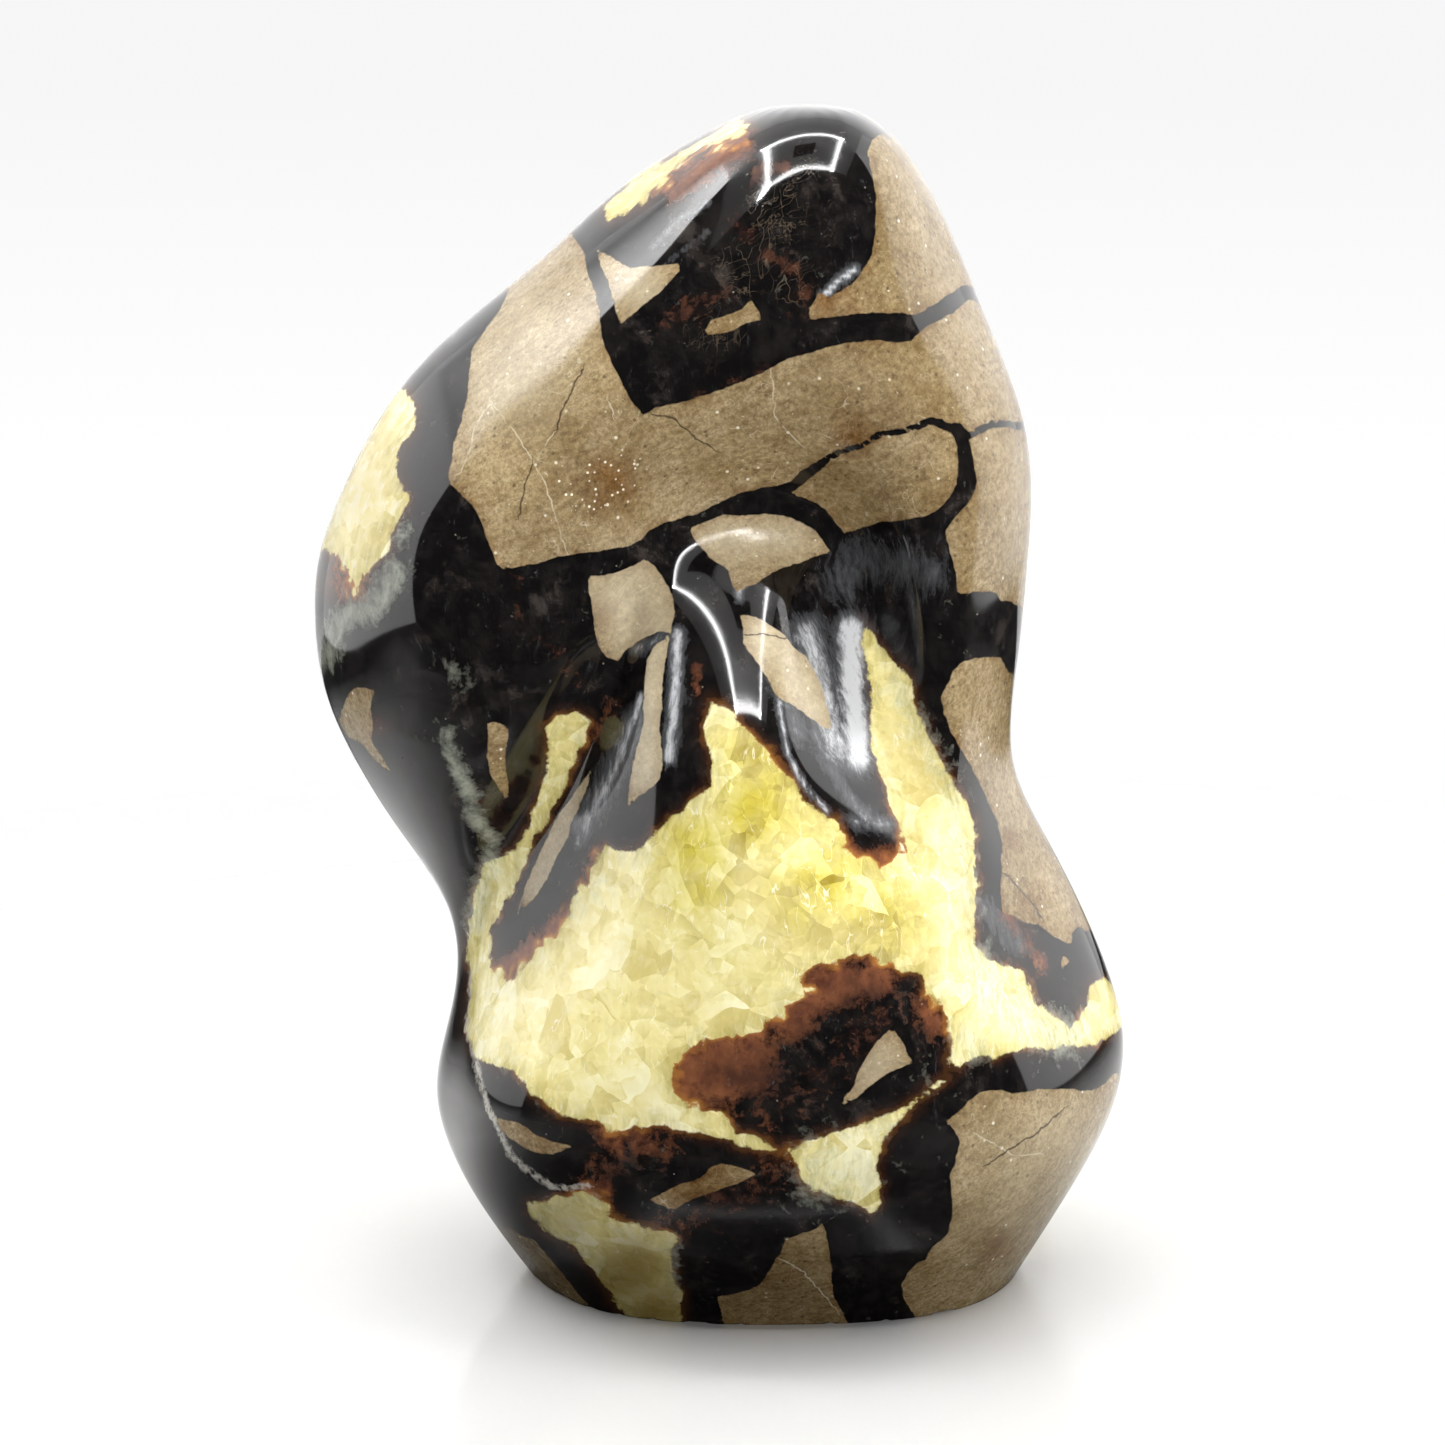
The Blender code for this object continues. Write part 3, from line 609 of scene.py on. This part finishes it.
finish = bpy.data.materials.new("polished_septarian_stone")
finish.use_nodes = True
Reading.tree = finish.node_tree
for spare in list(finish.node_tree.nodes):
    finish.node_tree.nodes.remove(spare)


def vectors(operation, values, output="Vector"):
    """A sum or product on places or colours."""
    return Reading.node("ShaderNodeVectorMath", {"operation": operation}, values, output)


def laid(name):
    """One of the distances or tints stored on the skin."""
    return Reading.node("ShaderNodeAttribute", {"attribute_name": name}, output="Fac")


def cloud(size, detail=2.0, rough=0.5, at=None, output="Fac"):
    """Smooth noise around 0.5, with swells of a size in mm."""
    return Reading.node("ShaderNodeTexNoise", {}, {
        "Vector": at or place, "Scale": 1.0 / size, "Detail": detail, "Roughness": rough}, output)


def cells(size, output="Distance", at=None, metric="EUCLIDEAN"):
    """Crystal-like cells of a size in mm."""
    return Reading.node("ShaderNodeTexVoronoi", {"distance": metric}, {
        "Vector": at or place, "Scale": 1.0 / size}, output)


def picked(chosen):
    """One number from a cell's colour, the same all over the cell."""
    return Reading.node("ShaderNodeSeparateColor", {}, {0: chosen})


def facets(size, at=None):
    """Cells of a size in mm, each shaded across like a tilted crystal face, around 0."""
    middle = cells(size, "Position", at)
    chosen = cells(size, "Color", at)
    out = vectors("SUBTRACT", {0: at or place, 1: middle})
    slope = vectors("SUBTRACT", {0: chosen, 1: (0.5, 0.5, 0.5)})
    tilt = vectors("DOT_PRODUCT", {0: out, 1: slope}, "Value")
    return tilt / size + 0.5 * (picked(chosen) - 0.5)


def hair(size, width, at=None):
    """Thin wandering lines, drawn where smooth noise passes through its middle."""
    return abs(cloud(size, 2.0, 0.5, at) - 0.5).between(width, width * 0.3)


def blend(share, under, over):
    """Two colours, with over where share is 1."""
    return Reading.node("ShaderNodeMix", {"data_type": "RGBA"}, {0: share, 6: under, 7: over}, 2)


def tinted(share, colour, tint):
    """A colour multiplied by a tint, as far as share says."""
    return Reading.node("ShaderNodeMix", {"data_type": "RGBA", "blend_type": "MULTIPLY"}, {
        0: share, 6: colour, 7: tint}, 2)


metres = Reading.node("ShaderNodeTexCoord", output="Object")
place = vectors("SCALE", {0: metres, 3: 1000.0})
bent = vectors("MULTIPLY_ADD", {0: cloud(6.0, output="Color"), 1: (3.0, 3.0, 3.0), 2: place})
stretched = Reading.node("ShaderNodeMapping", {}, {"Vector": bent, "Scale": (1.0, 1.0, 0.22)})
bedded = Reading.node("ShaderNodeMapping", {"vector_type": "TEXTURE"}, {
    "Vector": bent, "Rotation": (0.0, 1.05, 0.0), "Scale": (1.0, 1.0, 4.5)})

# where each mineral ends: limestone in a crisp line, calcite in small crystal teeth
rust, milk_laid, lemon_laid = laid("rust"), laid("milk"), laid("lemon")
limestone_depth = laid("limestone") + (cloud(1.3, 4.0, 0.6) - 0.5) * 0.6
is_limestone = limestone_depth.between(-0.07, 0.07)
teeth = 0.55 - cells(2.1, at=bent, metric="MANHATTAN")
calcite_depth = laid("calcite") + 0.12 + teeth * (0.5 + 1.3 * rust)
calcite_depth = calcite_depth + (cloud(0.5, 4.0, 0.7) - 0.5) * 0.7
is_calcite = calcite_depth.between(-0.10, 0.14)

# limestone: fine mud with faint bedding, specks, brown stains and healed cracks
mud = blend(cloud(9.0, 4.0, 0.65).between(0.36, 0.64), MUD_DEEP, MUD_PALE)
bedding = cloud(1.0, 4.0, 0.70, at=bedded).between(0.40, 0.64)
mud = tinted(0.75 * bedding, mud, BEDDING_TINT)
grain = cloud(0.55, 4.0, 0.85).between(0.38, 0.62)
mud = tinted(grain, mud, GRAIN_TINT)
seams = hair(1.9, 0.014, at=bedded) * cloud(5.0, 3.0).between(0.50, 0.62)
mud = blend(0.55 * seams, mud, SEAM_BROWN)
pale_seams = hair(4.5, 0.004) * cloud(7.0, 2.0, at=bent).between(0.52, 0.60)
mud = blend(0.45 * pale_seams, mud, SEAM_PALE)
sparkle = laid("sparkle")
specks, speck_pick = cells(1.1), picked(cells(1.1, "Color"))
dark_specks = specks.between(0.24, 0.14) * speck_pick.between(0.76, 0.79)
pale_specks = specks.between(0.22, 0.12) * (speck_pick - 0.2 * sparkle).between(0.10, 0.07)
mud = blend(0.70 * dark_specks, mud, SPECK_DARK)
crumbs = cloud(0.55, 2.0, 0.6).between(0.66, 0.74)
mud = blend(0.55 * crumbs, mud, CRUMB_BROWN)
flour = cloud(0.42, 2.0, 0.6, at=bent).between(0.68, 0.76)
mud = blend(0.60 * flour, mud, FLOUR_PALE)
stain = (laid("stain") + (cloud(1.8, 4.0, 0.7) - 0.5) * 1.0).between(0.25, 0.95)
mud = tinted(stain, mud, STAIN_TINT)
edge_stain = limestone_depth.between(1.1, 0.0) * cloud(3.0, 4.0, 0.6).between(0.42, 0.62)
mud = tinted(0.60 * edge_stain, mud, EDGE_STAIN_TINT)
mud = blend(0.85 * pale_specks, mud, SPECK_PALE)
sugar = cells(0.62).between(0.30, 0.16) * picked(cells(0.62, "Color")).between(0.52, 0.56)
sugar = sugar * (sparkle + (cloud(1.2, 3.0) - 0.5) * 0.8).between(0.45, 0.65)
mud = blend(0.90 * sugar, mud, SUGAR_WHITE)
# painted sheen: pale veils standing in for the tent mirrored in the polish
mud = blend(0.45 * laid("painted_sheen"), mud, PAINTED_SHEEN_PALE)
# painted shade: the mud made darker, most of all round the foot
painted_shade = laid("painted_shade").between(0.05, 0.95)
mud = tinted(painted_shade, mud, MUD_SHADE)
wobble = (cloud(1.6, 3.0, 0.6) - 0.5) * 1.0
pale_line = abs(laid("pale_side") + wobble).between(0.12, 0.05) * laid("pale_away").between(1.2, 0.7)
mud = blend(pale_line * cloud(1.4, 2.0).between(0.30, 0.55) * 0.75, mud, CRACK_PALE)
dark_line = abs(laid("dark_side") + wobble).between(0.14, 0.06) * laid("dark_away").between(1.2, 0.7)
mud = blend(0.8 * dark_line, mud, CRACK_DARK)

# aragonite: black where thick, red-brown in the island, orange where it thins out
thin = (cloud(0.8, 3.0) - 0.5) * 0.5 - calcite_depth
black = blend(cloud(2.6, 4.0, 0.7).between(0.45, 0.75), HORN_BLACK, HORN_SOFT)
black = blend(0.20 * cloud(6.0, 4.0, 0.75, at=bent).between(0.56, 0.72), black, HORN_CLOUD)
brown = blend(cloud(2.6, 4.0, 0.66, at=bent).between(0.26, 0.74), BROWN_LIGHT, BROWN_DARK)
brown = blend(thin.between(0.8, 5.5) * 0.75, brown, BROWN_DEEP)
brown_share = (rust + (cloud(1.5, 4.0, 0.75, at=bent) - 0.5) * 2.2).between(0.35, 0.90)
rim_share = thin.between(1.5, 0.4) * (0.20 + 0.8 * rust).between(0.0, 1.0)
horn = blend(brown_share, blend(rim_share, black, HORN_RIM), brown)
fringe = (0.08 + 0.90 * rust + 0.4 * cloud(4.0, 2.0).between(0.5, 0.7)).between(0.0, 1.0)
horn = blend(thin.between(0.75, 0.05) * fringe, horn, FRINGE_ORANGE)
scratches = (hair(0.9, 0.012, at=bedded) + hair(1.7, 0.010, at=stretched)).between(0.0, 1.0)
scratches = scratches * (laid("grit") + (cloud(1.5, 3.0) - 0.5) * 0.8).between(0.35, 0.75)
horn = blend(0.20 * scratches, horn, SCRATCH_TAN)
dust = cells(1.6).between(0.085, 0.04) * picked(cells(1.6, "Color")).between(0.86, 0.90)
horn = blend(0.6 * dust, horn, DUST_PALE)
# painted reflections: grey and white streaks laid over the black
painted_reflection = laid("painted_reflection") + (cloud(0.8, 4.0, 0.75, at=stretched) - 0.5) * 1.1
painted_reflection = painted_reflection.between(0.12, 1.0)
horn = blend(0.95 * painted_reflection, horn, blend(painted_reflection.between(0.50, 0.95), REFLECTION_GREY, REFLECTION_WHITE))
milk = (milk_laid + (cloud(1.7, 4.0, 0.70, at=bent) - 0.5) * 2.0).between(0.30, 1.15)
horn = blend(0.70 * milk, horn, MILK_GREEN)
# the white vein line, partly a painted highlight on the ridge
white_vein_and_gleam = (laid("white_vein_and_gleam") + (cloud(0.9, 3.0, 0.7) - 0.5) * 1.6).between(0.50, 0.10)
horn = blend(0.7 * white_vein_and_gleam, horn, VEIN_AND_GLEAM_WHITE)

# calcite: lemon yellow, with cleavage facets and milky veils
lemon = (lemon_laid + (cloud(3.5, 4.0, 0.6) - 0.5) * 0.9).between(0.05, 0.95)
broken = facets(5.0, at=bent) * 0.75 + facets(2.3, at=bent) * 0.45 + facets(0.9, at=bent) * 0.25
broken = broken + (cloud(7.0, 4.0, 0.6) - 0.5) * 0.8 + 0.5
dense = blend(lemon, DENSE_CREAM, DENSE_LEMON)
usual = blend(lemon, USUAL_CREAM, USUAL_LEMON)
bright = blend(lemon, BRIGHT_CREAM, BRIGHT_LEMON)
spar = blend(broken.between(0.50, 0.90), blend(broken.between(0.10, 0.50), dense, usual), bright)
veil = cloud(2.8, 4.0, 0.7, at=bent).between(0.50, 0.72) * (1.0 - 0.75 * lemon_laid)
spar = blend(0.35 * veil, spar, VEIL_PALE)
needles = hair(1.6, 0.010, at=stretched) * cloud(2.6, 2.0).between(0.50, 0.60)
spar = blend(0.55 * needles, spar, NEEDLE_WHITE)
snow = blend(cloud(0.7, 4.0, 0.8, at=stretched).between(0.42, 0.62), SNOW_PALE, SNOW_DEEP)
spar = blend(0.80 * milk, spar, snow)
fleck = (laid("stain") + (cloud(0.8, 4.0, 0.7) - 0.5) * 1.2).between(0.62, 0.80)
spar = blend(0.7 * fleck, spar, FLECK_BROWN)
# painted shade on the calcite too, darkest round the foot
spar = tinted(painted_shade, spar, SPAR_SHADE)
edge_cloud = cloud(1.2, 4.0, 0.7, at=stretched).between(0.38, 0.60)
spar = tinted(0.70 * (calcite_depth.between(2.6, 0.0) * edge_cloud), spar, EDGE_GREY_TINT)

# the three minerals meet in crisp lines, each with its own polish
relief = Reading.node("ShaderNodeBump", {"invert": True}, {
    "Strength": 0.10, "Distance": 0.0002, "Height": dark_specks + crumbs})


def polished(colour, rough, values=None):
    """The glassy surface of one mineral."""
    return Reading.node("ShaderNodeBsdfPrincipled", {}, {
        "Base Color": colour, "Roughness": rough, "IOR": POLISH_IOR, **(values or {})})


mud_surface = polished(mud, 0.14 + 0.06 * grain, {"Normal": relief})
horn_surface = polished(horn, 0.06 + 0.08 * scratches)
spar_surface = polished(spar, 0.10 + 0.05 * broken)
dark_or_yellow = Reading.node("ShaderNodeMixShader", {}, {
    0: is_calcite, 1: horn_surface, 2: spar_surface})
surface = Reading.node("ShaderNodeMixShader", {}, {
    0: is_limestone, 1: dark_or_yellow, 2: mud_surface})
Reading.node("ShaderNodeOutputMaterial", {}, {"Surface": surface}, None)

stone.data.materials.clear()
stone.data.materials.append(finish)
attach(stone, "root")
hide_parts("nodule")

# ---------------------------------------------------------------- light tent and floor
# A white folding light tent, open at the front, with a square LED ring in its
# roof, a lamp high on the left and two weak fills before it. Its pale floor
# fades out into the white background.
TENT_HALF = 0.30
TENT_HEIGHT = 0.50
TENT_WHITE = (0.86, 0.86, 0.86)
ROOF_FRONT = -0.33
SIDE_FRONT = -0.06
# the side walls glow: painted light standing in for the light white walls throw back
SIDE_WALL_PAINTED_GLOW = {"left": 0.5, "right": 0.95}
RING_X, RING_Y = 0.0, -0.165
RING_HALF_X, RING_HALF_Y = 0.18, 0.16
RING_DROP = 0.01
STRIP = 0.022
STRIP_GLOW = 19.0
PORT_HALF = 0.05
PORT_DROP = 0.005
PORT_BLACK = (0.005, 0.005, 0.005)
LAMP_GLOW = 9.0
LAMP_X = 0.002 - TENT_HALF
LAMP_BACK = 0.26
LAMP_FOOT = 0.28
LAMP_RISES = (0.30, 0.48)
LAMP_FADES = (0.24, 0.02)
FLOOR_HALF = 0.6
FLOOR_GREY = (0.70, 0.70, 0.69, 1)
FLOOR_SHADE = (0.02, 0.02, 0.02, 1)
FLOOR_FADES = (0.28, 0.12)
DARKER_AHEAD = (0.03, -0.09)
STONE_FOOT = (-0.005, -0.035, 0.0)
DARKER_ROUND_FOOT = (0.080, 0.040)
ROOM_DIM = 0.03
ROOM_WALL = 0.925
HORIZON = (-0.12, -0.01)


def fill_light(name, watts, size, place, turn):
    """A soft square lamp that leaves no reflection of its own, turned by degrees."""
    lamp = bpy.data.lights.new(name, "AREA")
    lamp.energy = watts
    lamp.size = size
    made = bpy.data.objects.new(name, lamp)
    made.location = place
    made.rotation_euler = [math.radians(degrees) for degrees in turn]
    made.visible_glossy = False
    bpy.context.scene.collection.objects.link(made)


def plain(name, colour, glow=0.0, rough=0.9, shine=0.0):
    """A plain sheet, or a glowing one."""
    sheet = bpy.data.materials.new(name)
    sheet.use_nodes = True
    shader = sheet.node_tree.nodes["Principled BSDF"]
    shader.inputs["Base Color"].default_value = (*colour[:3], 1)
    shader.inputs["Roughness"].default_value = rough
    shader.inputs["Specular IOR Level"].default_value = shine
    if glow:
        shader.inputs["Emission Color"].default_value = (1, 1, 1, 1)
        shader.inputs["Emission Strength"].default_value = glow
    return sheet


def feed(sheet, name, reading):
    """A reading into one socket of a sheet's shader."""
    shader = sheet.node_tree.nodes["Principled BSDF"]
    sheet.node_tree.links.new(reading.socket, shader.inputs[name])


def panel(name, corners, sheet, seen=False):
    """A flat four-cornered sheet of the tent, hidden from the camera unless it is the floor."""
    mesh = bpy.data.meshes.new(name)
    mesh.from_pydata(corners, [], [(0, 1, 2, 3)])
    made = bpy.data.objects.new(name, mesh)
    mesh.materials.append(sheet)
    bpy.context.scene.collection.objects.link(made)
    made.visible_camera = seen


def flat(x0, x1, y0, y1, z):
    """Corners of a level panel."""
    return [(x0, y0, z), (x1, y0, z), (x1, y1, z), (x0, y1, z)]


def upright(x, y0, y1, z0):
    """Corners of a side panel, from a height up to the roof."""
    return [(x, y0, z0), (x, y1, z0), (x, y1, TENT_HEIGHT), (x, y0, TENT_HEIGHT)]


def grey(level):
    """A grey, as a colour."""
    return (level, level, level, 1.0)


fill_light("front_fill", watts=2.4, size=0.5, place=(0.16, -0.60, 0.04), turn=(92, 0, 15))
fill_light("low_fill", watts=0.75, size=0.25, place=(0.30, -0.34, 0.05), turn=(88, 0, 40))

white = plain("tent_white", TENT_WHITE)
panel("tent_back", [(-TENT_HALF, TENT_HALF, 0), (TENT_HALF, TENT_HALF, 0),
                    (TENT_HALF, TENT_HALF, TENT_HEIGHT), (-TENT_HALF, TENT_HALF, TENT_HEIGHT)], white)
# side walls with a painted glow, no lamps of their own
for side, x in (("left", -TENT_HALF), ("right", TENT_HALF)):
    sheet = plain("tent_" + side, TENT_WHITE, SIDE_WALL_PAINTED_GLOW[side])
    panel("tent_" + side, upright(x, SIDE_FRONT, TENT_HALF, 0), sheet)
panel("tent_roof", flat(-TENT_HALF, TENT_HALF, ROOF_FRONT, TENT_HALF, TENT_HEIGHT), white)

glow = plain("led_strip", (1, 1, 1), STRIP_GLOW)
strips = {
    "front": (-RING_HALF_X, RING_HALF_X, -RING_HALF_Y, -RING_HALF_Y + STRIP),
    "back": (-RING_HALF_X, RING_HALF_X, RING_HALF_Y - STRIP, RING_HALF_Y),
    "left": (-RING_HALF_X, -RING_HALF_X + STRIP, -RING_HALF_Y, RING_HALF_Y),
    "right": (RING_HALF_X - STRIP, RING_HALF_X, -RING_HALF_Y, RING_HALF_Y),
}
for side, (x0, x1, y0, y1) in strips.items():
    panel("led_" + side, flat(RING_X + x0, RING_X + x1, RING_Y + y0, RING_Y + y1,
                              TENT_HEIGHT - RING_DROP), glow)
panel("roof_port", flat(RING_X - PORT_HALF, RING_X + PORT_HALF, RING_Y - PORT_HALF,
                        RING_Y + PORT_HALF, TENT_HEIGHT - PORT_DROP), plain("roof_port", PORT_BLACK))

# the lamp on the left is brightest at the top and towards the open front
lamp_sheet = plain("left_lamp", TENT_WHITE, LAMP_GLOW)
Reading.tree = lamp_sheet.node_tree
spot = Reading.node("ShaderNodeTexCoord", output="Object")
spot_y, spot_z = (Reading.node("ShaderNodeSeparateXYZ", {}, {0: spot}, axis) for axis in "YZ")
lamp_share = spot_z.between(*LAMP_RISES) * spot_y.between(*LAMP_FADES)
feed(lamp_sheet, "Emission Color", blend(lamp_share, grey(0.0), grey(1.0)))
panel("left_lamp", upright(LAMP_X, SIDE_FRONT, LAMP_BACK, LAMP_FOOT), lamp_sheet)

# the floor looks plain, but what the stone mirrors and gathers from it is
# painted darker ahead and round its foot: painted shade that only the stone sees
cloth = plain("white_floor", FLOOR_GREY, rough=0.15, shine=0.5)
Reading.tree = cloth.node_tree
where = Reading.node("ShaderNodeTexCoord", output="Object")
far = vectors("LENGTH", {0: where}, "Value")
ahead = Reading.node("ShaderNodeSeparateXYZ", {}, {0: where}, "Y")
from_foot = vectors("DISTANCE", {0: where, 1: STONE_FOOT}, "Value")
mirrored = Reading.node("ShaderNodeLightPath", output="Is Glossy Ray")
unseen = 1.0 - Reading.node("ShaderNodeLightPath", output="Is Camera Ray")
kept_ahead = 1.0 - mirrored * ahead.between(*DARKER_AHEAD)
kept_round_foot = 1.0 - unseen * from_foot.between(*DARKER_ROUND_FOOT)
feed(cloth, "Base Color", blend(1.0 - kept_ahead * kept_round_foot, FLOOR_GREY, FLOOR_SHADE))
feed(cloth, "Alpha", far.between(*FLOOR_FADES))
panel("floor", flat(-FLOOR_HALF, FLOOR_HALF, -FLOOR_HALF, FLOOR_HALF, 0), cloth, True)

# the room is white to look at and dim as a light
room = bpy.data.worlds.new("white_room")
bpy.context.scene.world = room
room.use_nodes = True
Reading.tree = room.node_tree
for spare in list(room.node_tree.nodes):
    room.node_tree.nodes.remove(spare)
direction = Reading.node("ShaderNodeTexCoord", output="Generated")
height = Reading.node("ShaderNodeSeparateXYZ", {}, {0: direction}, "Z")
wall = blend(height.between(*HORIZON), grey(1.0), grey(ROOM_WALL))
dim = Reading.node("ShaderNodeBackground", {}, {"Color": grey(ROOM_DIM)})
lit = Reading.node("ShaderNodeBackground", {}, {"Color": wall})
looked_at = Reading.node("ShaderNodeLightPath", output="Is Camera Ray")
both = Reading.node("ShaderNodeMixShader", {}, {0: looked_at, 1: dim, 2: lit})
Reading.node("ShaderNodeOutputWorld", {}, {"Surface": both}, None)

bpy.context.scene.view_settings.view_transform = "Standard"
